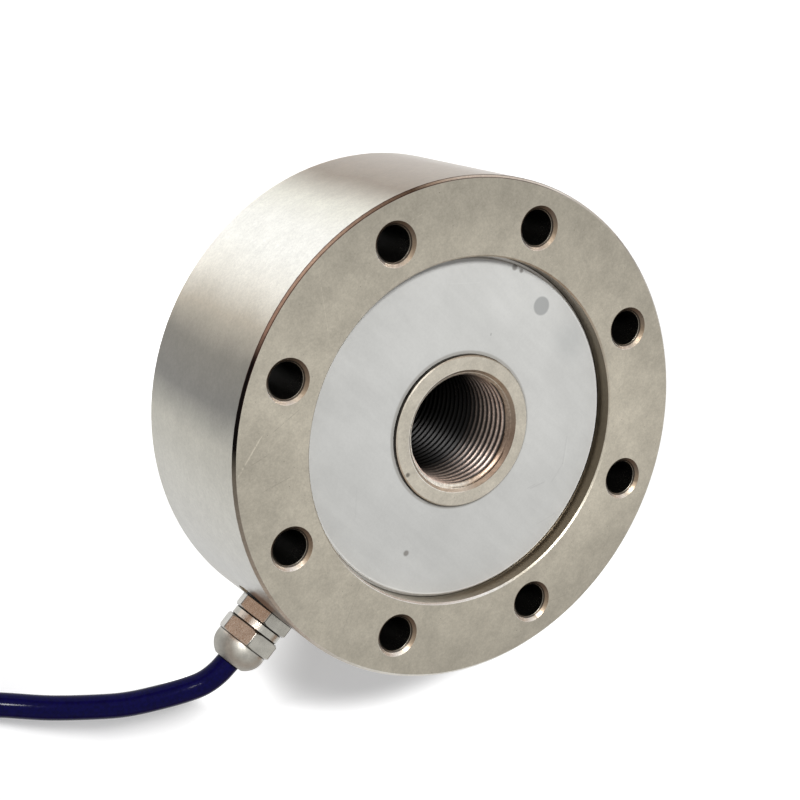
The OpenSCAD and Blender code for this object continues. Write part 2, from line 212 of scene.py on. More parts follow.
class Num:
    def __init__(self, tree, socket):
        self.tree = tree
        self.socket = socket

    def __add__(self, other):
        return self.tree.math("ADD", self, other)

    def __radd__(self, other):
        return self.tree.math("ADD", other, self)

    def __sub__(self, other):
        return self.tree.math("SUBTRACT", self, other)

    def __rsub__(self, other):
        return self.tree.math("SUBTRACT", other, self)

    def __mul__(self, other):
        return self.tree.math("MULTIPLY", self, other)

    def __rmul__(self, other):
        return self.tree.math("MULTIPLY", other, self)

    def __truediv__(self, other):
        return self.tree.math("DIVIDE", self, other)

    def __gt__(self, other):
        return self.tree.math("GREATER_THAN", self, other)

    def __lt__(self, other):
        return self.tree.math("LESS_THAN", self, other)


class Tree:
    def __init__(self, owner, coordinate, scale):
        owner.use_nodes = True
        self.links = owner.node_tree.links
        self.nodes = owner.node_tree.nodes
        self.nodes.clear()
        place = self.nodes.new("ShaderNodeTexCoord")
        scaled = self.node("ShaderNodeVectorMath", {"operation": "SCALE"},
                           {0: place.outputs[coordinate], "Scale": scale})
        self.place = scaled.outputs["Vector"]
        self.x, self.y, self.z = self.split(self.place)
        self.path = self.node("ShaderNodeLightPath", {}, {}).outputs

    def split(self, vector):
        apart = self.node("ShaderNodeSeparateXYZ", {}, {0: vector})
        return [Num(self, apart.outputs[i]) for i in range(3)]

    def emit(self, colour, strength):
        return self.node("ShaderNodeEmission", {}, {0: colour, 1: strength}).outputs[0]

    def pick(self, factor, first, second):
        return self.node("ShaderNodeMixShader", {}, {0: factor, 1: first, 2: second}).outputs[0]

    def both(self, first, second):
        return self.node("ShaderNodeAddShader", {}, {0: first, 1: second}).outputs[0]

    def plug(self, value, socket):
        if isinstance(value, Num):
            value = value.socket
        if isinstance(value, bpy.types.NodeSocket):
            self.links.new(value, socket)
        elif isinstance(value, (tuple, list)) and len(value) == 3 and socket.type == "RGBA":
            socket.default_value = (*value, 1.0)
        else:
            socket.default_value = value

    def node(self, kind, settings, inputs):
        made = self.nodes.new(kind)
        for key, value in settings.items():
            setattr(made, key, value)
        for key, value in inputs.items():
            self.plug(value, made.inputs[key])
        return made

    def math(self, operation, first, second=0.0):
        made = self.node("ShaderNodeMath", {"operation": operation}, {0: first, 1: second})
        return Num(self, made.outputs[0])

    def ramp(self, value, low, high, start=0.0, end=1.0):
        made = self.node("ShaderNodeMapRange", {"interpolation_type": "SMOOTHSTEP"},
                         {0: value, 1: low, 2: high, 3: start, 4: end})
        return Num(self, made.outputs[0])

    def mixed(self, factor, first, second):
        # a plain number between two others
        made = self.node("ShaderNodeMix", {"data_type": "FLOAT"}, {
            0: factor, 2: first, 3: second})
        return Num(self, made.outputs[0])

    def noise(self, scale, detail=2.0, rough=0.5, place=None):
        made = self.node("ShaderNodeTexNoise", {}, {
            "Vector": self.place if place is None else place, "Scale": scale,
            "Detail": detail, "Roughness": rough})
        return Num(self, made.outputs[0])

    def cells(self, scale):
        made = self.node("ShaderNodeTexVoronoi", {}, {"Vector": self.place, "Scale": scale})
        return Num(self, made.outputs["Distance"])

    def joined(self, x, y, z):
        made = self.node("ShaderNodeCombineXYZ", {}, {0: x, 1: y, 2: z})
        return made.outputs[0]

    def mix(self, factor, first, second):
        made = self.node("ShaderNodeMix", {"data_type": "RGBA"}, {
            "Factor": factor, 6: first, 7: second})
        return made.outputs[2]

    def shade(self, factor, first, second):
        made = self.node("ShaderNodeMix", {"data_type": "RGBA", "blend_type": "MULTIPLY"}, {
            "Factor": factor, 6: first, 7: second})
        return made.outputs[2]

    def toned(self, colour, tone):
        # a colour made lighter or darker by a plain number
        return self.shade(1.0, colour, self.joined(tone, tone, tone))

    def around(self, share, stops):
        # stops are in degrees round from +X, each with a colour or a plain number
        return self.steps(share, [((a + 180) / 360, c if isinstance(c, tuple) else (c, c, c))
                                  for a, c in stops])

    def steps(self, value, stops):
        made = self.node("ShaderNodeValToRGB", {}, {0: value})
        band = made.color_ramp
        while len(band.elements) < len(stops):
            band.elements.new(0.5)
        for element, (at, colour) in zip(band.elements, stops):
            element.position = at
            element.color = (*colour, 1.0)
        return made.outputs[0]

    def lineMask(self, first, second, width):
        # 1 on a thin line between two places seen from above
        (x0, y0), (x1, y1) = first, second
        length = math.hypot(x1 - x0, y1 - y0)
        ux, uy = (x1 - x0) / length, (y1 - y0) / length
        along = (self.x - x0) * ux + (self.y - y0) * uy
        over = along - self.math("MINIMUM", self.math("MAXIMUM", along, 0.0), length)
        off = (self.x - x0) * -uy + (self.y - y0) * ux
        away = self.math("SQRT", off * off + over * over)
        return self.ramp(away, width, width * 0.3)

    def spot(self, place, radius, soft):
        dx = self.x - place[0]
        dy = self.y - place[1]
        return self.ramp(self.math("SQRT", dx * dx + dy * dy), radius + soft, radius - soft)


class Shader(Tree):
    def __init__(self, name):
        self.material = bpy.data.materials.new(name)
        super().__init__(self.material, "Object", 1000.0)
        self.bsdf = self.nodes.new("ShaderNodeBsdfPrincipled")
        self.end = self.nodes.new("ShaderNodeOutputMaterial")
        self.links.new(self.bsdf.outputs["BSDF"], self.end.inputs["Surface"])

    def bump(self, height, distance, strength):
        made = self.node("ShaderNodeBump", {}, {
            "Height": height, "Distance": distance, "Strength": strength})
        self.links.new(made.outputs[0], self.bsdf.inputs["Normal"])

    def set(self, **values):
        names = {"colour": "Base Color", "rough": "Roughness", "metal": "Metallic",
                 "spec": "Specular IOR Level"}
        for key, value in values.items():
            self.plug(value, self.bsdf.inputs[names[key]])


def paint(obj, shader):
    obj.data.materials.clear()
    obj.data.materials.append(shader.material)


def srgb(r, g, b):
    out = []
    for v in (r, g, b):
        v = v / 255
        out.append(v / 12.92 if v <= 0.04045 else ((v + 0.055) / 1.055) ** 2.4)
    return tuple(out)


# body steel

steel = {
    "rim": srgb(196, 189, 174),
    "hub": srgb(211, 204, 190),
    # painted shade inside the bolt holes
    "hole": (0.018, 0.017, 0.016),
    "cone": (
        # painted shade and highlight on a countersink, from its upper to its lower side
        (0.0, srgb(112, 102, 92)), (0.3, srgb(138, 122, 104)), (0.6, srgb(166, 148, 128)),
        (0.82, srgb(214, 202, 186)), (0.93, srgb(255, 252, 246)), (1.0, srgb(255, 255, 252))),
    "radius": 64.0, "top": 48.5, "chamfer": 0.7, "recessRadius": 44.25, "middle": 30.0,
    "hubRadius": 19.6, "hubTop": 46.5, "mouthRadius": 15.9,
    "bolts": 8, "boltRadius": 53.5, "holeRadius": 4.5, "sinkRadius": 5.6,
    "glandReflection": {"y": -5.5, "z": 38.0, "outer": 10.0, "inner": 6.0},
    "hubMark": (17.5, -5.4),
    "wall": (
        # degrees round from +X, colour: painted reflection bands, light and dark, round the wall
        (-180, srgb(176, 170, 160)), (-165, srgb(160, 150, 136)), (-156, srgb(214, 208, 203)),
        (-148, srgb(221, 215, 208)), (-138, srgb(188, 177, 165)), (-119, srgb(157, 143, 127)),
        (-108, srgb(231, 229, 217)), (-100, srgb(247, 246, 239)), (-92, srgb(251, 250, 243)),
        (-84, srgb(240, 236, 225)), (-76, srgb(193, 184, 168)), (-68, srgb(134, 130, 121)),
        (-58, srgb(127, 125, 120)), (-49, srgb(190, 187, 176)), (-36, srgb(203, 201, 192)),
        (-14, srgb(196, 195, 190)), (12, srgb(172, 166, 153)), (60, srgb(188, 183, 172)),
        (110, srgb(206, 203, 196)), (150, srgb(178, 172, 162)), (180, srgb(176, 170, 160))),
    "rimOuterPaintedLight": (
        # painted light and shade round the outer part of the rim face, then the inner part
        (-180, 0.84), (-135, 0.76), (-105, 0.78), (-78, 0.94), (-60, 1.02), (-46, 0.86),
        (-15, 0.92), (0, 0.94), (30, 0.84), (90, 0.86), (110, 1.0), (135, 1.06), (152, 0.9),
        (180, 0.84)),
    "rimInnerPaintedLight": (
        (-180, 0.98), (-135, 0.94), (-105, 0.92), (-60, 1.03), (-20, 1.02), (30, 0.93),
        (80, 1.0), (105, 1.16), (135, 1.18), (165, 1.06), (180, 0.98)),
    "scratches": (
        # from, to, width, how light
        ((33.8, -46.0), (44.6, -44.2), 0.28, 1.35), ((31.4, -44.2), (23.4, -42.4), 0.16, 0.8),
        ((43.8, -36.6), (36.9, -33.2), 0.14, 0.82), ((36.0, -41.5), (41.0, -43.5), 0.14, 0.8),
        ((-30.0, -49.0), (-20.5, -53.0), 0.14, 1.2), ((12.0, 58.5), (22.5, 50.2), 0.13, 0.84),
        ((-3.0, -61.0), (5.5, -49.5), 0.12, 1.18), ((-52.0, 14.0), (-47.0, 26.5), 0.14, 1.2),
        ((57.0, 6.0), (46.0, 2.0), 0.12, 0.85)),
    "recess": (
        # painted light and shade on the recess wall round the sealant
        (-180, srgb(150, 140, 125)), (-150, srgb(150, 140, 125)), (-20, srgb(180, 174, 160)),
        (20, srgb(206, 200, 188)), (50, srgb(160, 148, 130)), (80, srgb(128, 116, 98)),
        (130, srgb(112, 102, 86)), (165, srgb(130, 120, 104)), (180, srgb(150, 140, 125))),
    "hubEdgePaintedLight": (
        # painted light and shade on the chamfer round the hub
        (-180, srgb(150, 144, 130)), (-130, srgb(60, 56, 50)), (-40, srgb(46, 43, 39)),
        (10, srgb(90, 84, 74)), (60, srgb(170, 165, 152)), (150, srgb(190, 186, 174)),
        (180, srgb(150, 144, 130))),
    "mouth": (
        # painted light and shade on the chamfer at the mouth of the bore
        (-180, srgb(190, 180, 164)), (-60, srgb(240, 236, 226)), (20, srgb(250, 246, 236)),
        (44, srgb(246, 240, 228)), (60, srgb(180, 162, 144)), (80, srgb(116, 98, 84)),
        (125, srgb(126, 108, 94)), (180, srgb(180, 168, 152))),
    "edge": (
        # the same painted light and shade for the narrow chamfer round the front face
        (-180, srgb(170, 160, 146)), (-168, srgb(206, 200, 190)), (-160, srgb(246, 243, 236)),
        (-134, srgb(246, 242, 234)), (-127, srgb(190, 174, 158)), (-121, srgb(96, 80, 68)),
        (-96, srgb(176, 150, 132)), (-76, srgb(150, 120, 104)), (-70, srgb(16, 13, 13)),
        (-50, srgb(14, 12, 12)), (-45, srgb(120, 116, 106)), (-10, srgb(206, 204, 196)),
        (60, srgb(230, 228, 220)), (140, srgb(206, 200, 188)), (180, srgb(150, 140, 128))),
}


def nearestBolt(s, angle, radius):
    # how far the nearest bolt hole's axis is, squared, and how much a wall there faces the lamp
    step = 2 * math.pi / steel["bolts"]
    turned = angle - step / 2
    away = turned - s.math("ROUND", turned / step) * step
    middle = steel["boltRadius"]
    apart = radius * radius + middle * middle - radius * (2 * middle) * s.math("COSINE", away)
    centre = turned - away + step / 2
    dx = s.x - middle * s.math("COSINE", centre)
    dy = s.y - middle * s.math("SINE", centre)
    return apart, (dx * 0.97 + dy * 0.22) / 5.0


def frontEdge(s, angle, radius, bands):
    # painted shade: the chamfer is painted with a dark line at each of its edges, part of the way
    # round
    edge = s.around(bands, steel["edge"])
    wide = steel["chamfer"]
    across = s.math("ABSOLUTE", (radius - (steel["radius"] - wide)) / wide - 0.5)
    borderShade = s.ramp(across, 0.2, 0.42) * s.ramp(angle, -0.9, -1.3) * s.ramp(angle, -3.0, -2.7)
    return s.mix(borderShade * 0.85, edge, srgb(62, 40, 36))


def paintedGlandReflection(s, onWall):
    # a painted reflection: the gland's own dark reflection in the wall beside it
    glandReflection = steel["glandReflection"]
    ry = s.y - glandReflection["y"]
    rz = s.z - glandReflection["z"]
    away = s.math("SQRT", ry * ry * 1.1 + rz * rz * 0.6)
    return s.ramp(away, glandReflection["outer"], glandReflection["inner"]) * onWall * (s.x > 0.0)


def steelTone(s, onTop, onWall, fine):
    # clouds, grain, pits and scratches, as one number that darkens or lightens
    grain = s.noise(0.9, 3.0, 0.6)
    tone = s.mixed(onWall * 0.55, s.ramp(s.noise(0.16, 4.0, 0.62), 0.3, 0.72, 0.9, 1.06), 1.0)
    tone = tone * s.ramp(fine, 0.25, 0.75, 0.9, 1.08) * s.ramp(grain, 0.3, 0.7, 0.95, 1.04)
    pits = s.ramp(s.cells(0.5), 0.02, 0.06, 0.25, 1.0) * s.ramp(s.cells(1.3), 0.03, 0.07, 0.55, 1.0)
    tone = tone * s.mixed(onWall * 0.7, pits, 1.0)
    for first, second, width, light in steel["scratches"]:
        mark = s.lineMask(first, second, width) * s.ramp(grain, 0.35, 0.5) * onTop
        tone = tone * s.mixed(mark, 1.0, light)
    hubMark = s.spot(steel["hubMark"], 0.55, 0.25) * (s.z > steel["hubTop"] - 0.5)
    return tone * s.mixed(hubMark, 1.0, 0.35)


def bodySteel():
    s = Shader("groundSteel")
    top, outside, hub = steel["top"], steel["radius"], steel["hubRadius"]
    recess, hole = steel["recessRadius"], steel["holeRadius"]
    angle = s.math("ARCTAN2", s.y, s.x)
    share = angle / (2 * math.pi) + 0.5
    radius = s.math("SQRT", s.x * s.x + s.y * s.y)
    bands = share + (s.noise(0.05, 2.0, 0.5) - 0.5) * 0.012
    onTop = s.ramp(s.z, top - 0.2, top - 0.05)
    onWall = s.ramp(radius, outside - 0.3, outside - 0.05)
    fine = s.noise(2.2, 4.0, 0.7)
    bolt, lit = nearestBolt(s, angle, radius)
    # rim and hub, then painted reflection bands round the wall
    colour = s.mix(s.ramp(radius, hub + 0.6, hub + 0.2), steel["rim"], steel["hub"])
    colour = s.mix(onWall, colour, s.around(bands, steel["wall"]))
    # painted light and shade on the rim face, by the angle round it
    rimPaintedLight = s.mix(s.ramp(radius, 46.0, 61.0), s.around(share, steel["rimInnerPaintedLight"]),
                    s.around(share, steel["rimOuterPaintedLight"]))
    colour = s.shade(onTop * (radius > recess - 1.25), colour, rimPaintedLight)
    # painted highlight and shade: the countersinks are painted bright where they face the lamp
    sink = steel["sinkRadius"] + 0.02
    onCone = (bolt < sink ** 2) * (bolt > (hole + 0.05) ** 2) * (s.z > top - 1.3)
    colour = s.mix(onCone, colour, s.steps(lit * 0.5 + 0.5, steel["cone"]))
    # painted light and shade on the front chamfer
    onEdge = (radius + s.z) > outside + top - steel["chamfer"] - 0.05
    colour = s.mix(onEdge, colour, frontEdge(s, angle, radius, bands))
    # painted highlight along the lip of the recess
    lipHighlight = (radius < recess + 0.5) * (radius > recess - 0.05) * (s.z > top - 0.45)
    colour = s.mix(lipHighlight * s.ramp(angle, 1.2, 0.9) * s.ramp(angle, -0.3, 0.1), colour, (1.0, 1.0, 0.98))
    # painted reflection of the gland in the wall
    colour = s.mix(paintedGlandReflection(s, onWall) * 0.84, colour, srgb(112, 84, 70))
    # painted light and shade on the recess wall, hub edge and mouth of the bore
    upper = s.z > steel["middle"]
    inRecess = (radius < recess + 0.35) * (radius > recess - 1.25) * (s.z < top - 0.4) * upper
    colour = s.mix(inRecess, colour, s.around(bands, steel["recess"]))
    onHubEdge = (radius > hub - 0.24) * (radius < hub + 0.9) * (s.z < steel["hubTop"] - 0.04) * upper
    colour = s.mix(onHubEdge, colour, s.around(bands, steel["hubEdgePaintedLight"]))
    # painted light and shade on the mouth of the bore
    onMouth = (radius < steel["mouthRadius"]) * (s.z > steel["hubTop"] - 0.9)
    colour = s.mix(onMouth, colour, s.around(share, steel["mouth"]))
    colour = s.toned(colour, steelTone(s, onTop, onWall, fine))
    # painted shade: the bolt holes are painted near black below their countersinks, with sparse specks
    # where the steel shows
    inHole = (bolt < (hole + 0.1) ** 2) * s.ramp(s.z, top - 0.8, top - 1.5)
    glint = s.ramp(s.noise(3.4, 2.0, 0.6), 0.55, 0.66) * s.ramp(s.z, 38.0, 47.0) * 0.3
    colour = s.mix(inHole * (0.96 - glint), colour, steel["hole"])
    # painted shade on the inner part of each countersink, next to the hole
    colour = s.mix(onCone * (bolt < (hole + 0.36) ** 2) * 0.85, colour, steel["hole"])
    # the brightest band of the wall is its matt share
    bright = s.ramp(angle, -2.05, -1.85) * s.ramp(angle, -1.3, -1.52) * onWall
    s.set(colour=colour, metal=0.95 - bright * 0.45, rough=s.ramp(fine, 0.2, 0.8, 0.28, 0.4))
    s.bump(fine * 0.6 + s.noise(9.0, 2.0, 0.6) * 0.4, 0.00003, 0.5)
    return s


paint(nodes["body"], bodySteel())
print("body painted")

# hub thread

threadPlan = {"pitch": 2.0, "crest": 13.9, "root": 14.93, "outer": 15.0, "mouth": 15.75,
              "low": 2.75, "high": 45.75, "around": 180, "perPitch": 10, "lit": (26.5, 46.0),
              "turn": (
                  # painted light and shade of the rings round the bore
                  (-180, 0.95), (-100, 0.9), (-60, 1.3), (-25, 1.9), (5, 1.7), (35, 1.15),
                  (60, 0.68), (85, 0.52), (110, 0.8), (140, 1.15), (180, 1.1))}


def threadRadius(turnShare):
    t = turnShare % 1.0
    flat = 0.125
    rise = (1 - 2 * flat) / 2
    depth = threadPlan["root"] - threadPlan["crest"]
    if t < flat:
        return threadPlan["crest"]
    if t < flat + rise:
        return threadPlan["crest"] + depth * (t - flat) / rise
    if t < 2 * flat + rise:
        return threadPlan["root"]
    return threadPlan["root"] - depth * (t - 2 * flat - rise) / rise


def buildThread():
    plan = threadPlan
    mesh = bmesh.new()
    rows = int((plan["high"] - plan["low"]) / plan["pitch"] * plan["perPitch"])
    grid = []
    for j in range(rows + 1):
        z = plan["low"] + (plan["high"] - plan["low"]) * j / rows
        row = []
        for i in range(plan["around"]):
            share = i / plan["around"]
            r = threadRadius(z / plan["pitch"] - share)
            cone = plan["mouth"] - min(z - plan["low"], plan["high"] - z) - 0.82
            r = min(max(r, cone), plan["root"])
            a = 2 * math.pi * share
            row.append(mesh.verts.new((r * math.cos(a) * mm, r * math.sin(a) * mm, z * mm)))
        grid.append(row)
    shell = []
    for z in (plan["low"], plan["high"]):
        row = []
        for i in range(plan["around"]):
            a = 2 * math.pi * i / plan["around"]
            r = plan["outer"]
            row.append(mesh.verts.new((r * math.cos(a) * mm, r * math.sin(a) * mm, z * mm)))
        shell.append(row)
    rings = [shell[0]] + grid + [shell[1]]
    for low, high in zip(rings, rings[1:] + rings[:1]):
        for i in range(plan["around"]):
            k = (i + 1) % plan["around"]
            mesh.faces.new((low[k], low[i], high[i], high[k]))
    bmesh.ops.recalc_face_normals(mesh, faces=mesh.faces)
    return finishMesh("hubThread", mesh, 80)


thread = buildThread()
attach(thread, "root")


def threadSteel():
    s = Shader("threadSteel")
    radius = s.math("SQRT", s.x * s.x + s.y * s.y)
    share = s.math("ARCTAN2", s.y, s.x) / (2 * math.pi) + 0.5
    grit = s.ramp(s.noise(1.6, 3.0, 0.7), 0.3, 0.7, 0.7, 1.12)
    # painted shade: darker deeper in the bore and in the thread grooves
    depth = s.ramp(s.z, *threadPlan["lit"], 0.01, 1.0)
    grooveShade = s.ramp(radius, threadPlan["crest"] + 0.18, threadPlan["crest"] + 0.62, 1.0, 0.06)
    tone = depth * grooveShade * grit
    colour = s.toned(srgb(204, 184, 172), tone)
    # painted light and shade round the bore
    colour = s.shade(1.0, colour, s.around(share, threadPlan["turn"]))
    # the mouth takes the body's painted light and shade
    mouth = s.toned(s.around(share, steel["mouth"]), grit)
    colour = s.mix(s.ramp(s.z, 44.3, 44.8), colour, mouth)
    # the rings on the lamp's own side are seen by their matt share
    side = s.ramp(s.math("ABSOLUTE", share - 0.46), 0.16, 0.06)
    s.set(colour=colour, metal=0.8 - side * 0.55, rough=0.32)
    s.bump(s.noise(5.0, 3.0, 0.6), 0.00004, 0.5)
    return s


paint(thread, threadSteel())
print("thread", len(thread.data.polygons), "faces")

# sealant on both faces

sealantPlan = {
    "base": srgb(191, 191, 188),
    "lipHighlight": (42.6, 43.4), "hubGap": (20.6, 20.1),  # radii
    "spot": (-37.6, -3.0),
    "stain": (-37.0, 10.7),
    "chips": ((-39.3, -16.5, 0.75), (-40.0, -14.3, 0.55), (32.1, 9.9, 0.75)),
    "marks": (
        # from, to, width, how light
        ((-18.5, 28.8), (-12.7, 33.1), 0.3, 0.93), ((-12.7, 33.1), (-7.1, 33.8), 0.3, 0.94),
        ((-17.9, 29.8), (-12.2, 34.0), 0.25, 1.04), ((-1.9, 29.3), (-5.4, 31.6), 0.3, 0.9),
        ((-1.2, 28.4), (-3.4, 29.6), 0.25, 0.92), ((-23.0, -10.4), (-22.7, -10.2), 0.3, 0.7),
        ((-1.5, 41.2), (3.8, 38.4), 0.2, 0.93), ((-30.0, -22.0), (-24.5, -28.5), 0.22, 1.04),
        ((28.0, -14.0), (33.5, -9.0), 0.2, 0.95)),
}


def sealantLook():
    s = Shader("sealant")
    cloud = s.noise(0.05, 3.0, 0.55)
    streak = s.node("ShaderNodeMapping", {}, {
        "Vector": s.place, "Rotation": (0, 0, 0.9), "Scale": (0.35, 0.06, 0.2)}).outputs[0]
    brushed = s.noise(1.0, 4.0, 0.6, streak)
    fine = s.noise(1.4, 3.0, 0.65)
    tone = s.ramp(cloud, 0.3, 0.7, 0.94, 1.03) * s.ramp(brushed, 0.35, 0.7, 0.972, 1.013)
    tone = tone * s.ramp(fine, 0.25, 0.75, 0.97, 1.02)
    # slowly lighter towards -X
    tone = tone * (1.0 + (s.y * 0.34 - s.x * 0.94) * 0.0019)
    for first, second, width, light in sealantPlan["marks"]:
        tone = tone * s.mixed(s.lineMask(first, second, width), 1.0, light)
    colour = s.toned(sealantPlan["base"], tone)
    ragged = s.noise(0.8, 3.0, 0.6) * 0.8
    spotMask = s.spot(sealantPlan["spot"], 2.4, 0.25)
    colour = s.mix(spotMask * 0.85, colour, srgb(150, 151, 150))
    stain = s.spot(sealantPlan["stain"], 4.6, 3.4) * s.ramp(ragged, 0.1, 0.5, 0.6, 1.0)
    colour = s.mix(stain * 0.6, colour, srgb(172, 173, 171))
    away = s.math("SQRT", s.x * s.x + s.y * s.y)
    # painted highlight along the sealant's outer edge
    lipHighlight = s.ramp(away, *sealantPlan["lipHighlight"])
    colour = s.mix(lipHighlight * 0.6, colour, srgb(232, 232, 230))
    near = s.ramp(away, *sealantPlan["hubGap"])
    colour = s.mix(near * 0.55, colour, srgb(128, 124, 116))
    for x, y, size in sealantPlan["chips"]:
        colour = s.mix(s.spot((x, y), size, 0.3) * 0.75, colour, srgb(108, 104, 98))
    s.set(colour=colour, rough=s.ramp(fine, 0.2, 0.8, 0.42, 0.58), spec=0.35)
    s.bump(fine * 0.5 + brushed, 0.00012, 0.45)
    return s


for name in ("front_sealant", "back_sealant"):
    paint(nodes[name], sealantLook())

# gland

glandPlan = {
    "height": 26.0, "flats": 14.0, "bore": 3.2, "spigot": 5.9, "neck": 6.8, "steps": 360,
    "bodyCorner": 34.9, "nutCorner": 36.0, "brownReflectionFlat": -55.0,
    "shankFrom": 55.2, "seat": 64.0, "hexEnd": 67.4, "nut": 69.8, "nutEnd": 74.2,
    "spigotEnd": 74.8, "domeStart": 75.4, "end": 80.0, "endRadius": 4.1,
    "insertFrom": 66.8, "insertRadius": 4.7,
}


def hexRadius(angle, corner):
    # how far out a hexagon reaches; its corners are very slightly rounded
    turned = (angle - corner) % 60 - 30
    out = glandPlan["flats"] / 2 / math.cos(math.radians(turned))
    most = glandPlan["flats"] / math.sqrt(3) * 0.992
    return min(out, most)


def turnedPiece(name, stations, corner):
    # rings about the gland's axis: x, the radius and whether it is cut to the hexagon
    mesh = bmesh.new()
    rings = []
    for x, limit, hexed in stations:
        ring = []
        for i in range(glandPlan["steps"]):
            angle = corner + i * 360 / glandPlan["steps"]
            r = min(limit, hexRadius(angle, corner)) if hexed else limit
            a = math.radians(angle)
            place = (x, r * math.sin(a), glandPlan["height"] + r * math.cos(a))
            ring.append(mesh.verts.new(Vector(place) * mm))
        rings.append(ring)
    for low, high in zip(rings, rings[1:] + rings[:1]):
        for i in range(glandPlan["steps"]):
            k = (i + 1) % glandPlan["steps"]
            mesh.faces.new((low[i], low[k], high[k], high[i]))
    bmesh.ops.recalc_face_normals(mesh, faces=mesh.faces)
    return finishMesh(name, mesh, 28)


def hexStations(start, end, both):
    wide = glandPlan["flats"] / math.sqrt(3)
    narrow = glandPlan["flats"] / 2 * 1.02
    slope = math.tan(math.radians(30))
    cut = (wide - narrow) * slope
    out = []
    steps = 7
    if both:
        out += [(start + cut * k / steps, narrow + (wide - narrow) * k / steps, True)
                for k in range(steps + 1)]
    else:
        out.append((start, wide, True))
    out += [(end - cut * k / steps, narrow + (wide - narrow) * k / steps, True)
            for k in range(steps, -1, -1)]
    return out


def glandBodyStations():
    g = glandPlan
    neck, spigot, insert = g["neck"], g["spigot"], g["insertRadius"]
    out = [(g["shankFrom"], spigot - 0.4, False), (g["shankFrom"] + 0.4, spigot, False)]
    out += [(g["seat"], spigot, False)]
    out += hexStations(g["seat"], g["hexEnd"], False)
    out += [(g["hexEnd"] + 0.02, neck - 0.3, False), (g["hexEnd"] + 0.3, neck, False)]
    out += [(g["nut"] - 0.3, neck, False), (g["nut"] - 0.02, neck - 0.3, False)]
    out += [(g["nut"], spigot, False), (g["spigotEnd"], spigot, False)]
    out += [(g["spigotEnd"], insert, False), (g["insertFrom"], insert, False)]
    out += [(g["insertFrom"], g["bore"], False), (g["shankFrom"], g["bore"], False)]
    return out


def nutStations():
    g = glandPlan
    radius = g["flats"] / 2
    out = [(g["nut"], g["spigot"], False)]
    out += hexStations(g["nut"], g["nutEnd"], True)
    out += [(g["nutEnd"], radius - 0.03, False), (g["domeStart"], radius, False)]
    reach = g["end"] - g["domeStart"]
    k = reach / math.sqrt(1 - (g["endRadius"] / radius) ** 2)
    for i in range(1, 17):
        x = reach * math.sin(math.pi / 2 * i / 16)
        out.append((g["domeStart"] + x, radius * math.sqrt(1 - (x / k) ** 2), False))
    out += [(g["end"], g["bore"] + 0.3, False), (g["end"] - 0.3, g["bore"], False)]
    out += [(g["end"] - 0.8, g["bore"], False), (g["spigotEnd"] + 0.8, g["spigot"], False)]
    return out


def nickelLook(name, corner, seams):
    s = Shader(name)
    cloud = s.noise(0.35, 3.0, 0.6)
    fine = s.noise(3.0, 3.0, 0.7)
    tone = s.ramp(cloud, 0.3, 0.7, 0.86, 1.05) * s.ramp(fine, 0.25, 0.75, 0.9, 1.06)
    up = s.z - glandPlan["height"]
    roll = s.math("ARCTAN2", s.y, up) * (180 / math.pi) - corner
    off = s.math("ABSOLUTE", roll - s.math("ROUND", roll / 60.0) * 60.0)
    away = s.math("SQRT", s.y * s.y + up * up)
    for place in seams:
        tone = tone * s.ramp(s.math("ABSOLUTE", s.x - place), 0.06, 0.24, 0.12, 1.0)
    # painted shade along the hexagon's corners
    pastFlats = away > glandPlan["flats"] / 2 + 0.5
    tone = tone * s.mixed(pastFlats, 1.0, s.ramp(off, 0.4, 1.7, 0.28, 1.0))
    dome = s.ramp(s.x, glandPlan["nutEnd"], glandPlan["domeStart"])
    # a painted reflection: the flat that faces the camera is painted with the room's brown, the others
    # are greyer
    aside = s.math("ABSOLUTE", roll + (corner - glandPlan["brownReflectionFlat"]))
    brownReflection = s.ramp(aside, 31.0, 29.0) * (1.0 - dome)
    tone = tone * s.mixed(brownReflection, 0.82, 1.0) * (1.0 - dome * 0.14)
    base = s.mix(brownReflection, (0.65, 0.63, 0.57), (0.67, 0.58, 0.5))
    colour = s.toned(base, tone)
    s.set(colour=colour, metal=1.0, rough=s.ramp(fine, 0.2, 0.8, 0.2, 0.34) + dome * 0.24)
    s.bump(fine + s.noise(0.8, 2.0, 0.5), 0.00005, 0.5)
    return s


glandBody = turnedPiece("glandHex", glandBodyStations(), glandPlan["bodyCorner"])
domeNut = turnedPiece("domeNut", nutStations(), glandPlan["nutCorner"])
for piece, node, corner, seams in (
        (glandBody, "gland_body", glandPlan["bodyCorner"], (glandPlan["seat"], glandPlan["hexEnd"])),
        (domeNut, "dome_nut", glandPlan["nutCorner"], (glandPlan["nut"], glandPlan["nutEnd"] + 0.05))):
    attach(piece, "root")
    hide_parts(node)
    paint(piece, nickelLook("nickel" + piece.name, corner, seams))
print("gland built")


def sheathLook():
    s = Shader("cableSheath")
    fine = s.noise(1.2, 3.0, 0.6)
    tone = s.ramp(fine, 0.3, 0.7, 0.75, 1.25)
    colour = s.toned((0.002, 0.0015, 0.036), tone)
    s.set(colour=colour, rough=s.ramp(fine, 0.3, 0.7, 0.1, 0.16), spec=0.07)
    s.bump(s.noise(0.25, 2.0, 0.5) + fine * 0.15, 0.00018, 0.35)
    return s


paint(cable, sheathLook())

# the cable's end: sleeve, cores and bare strands

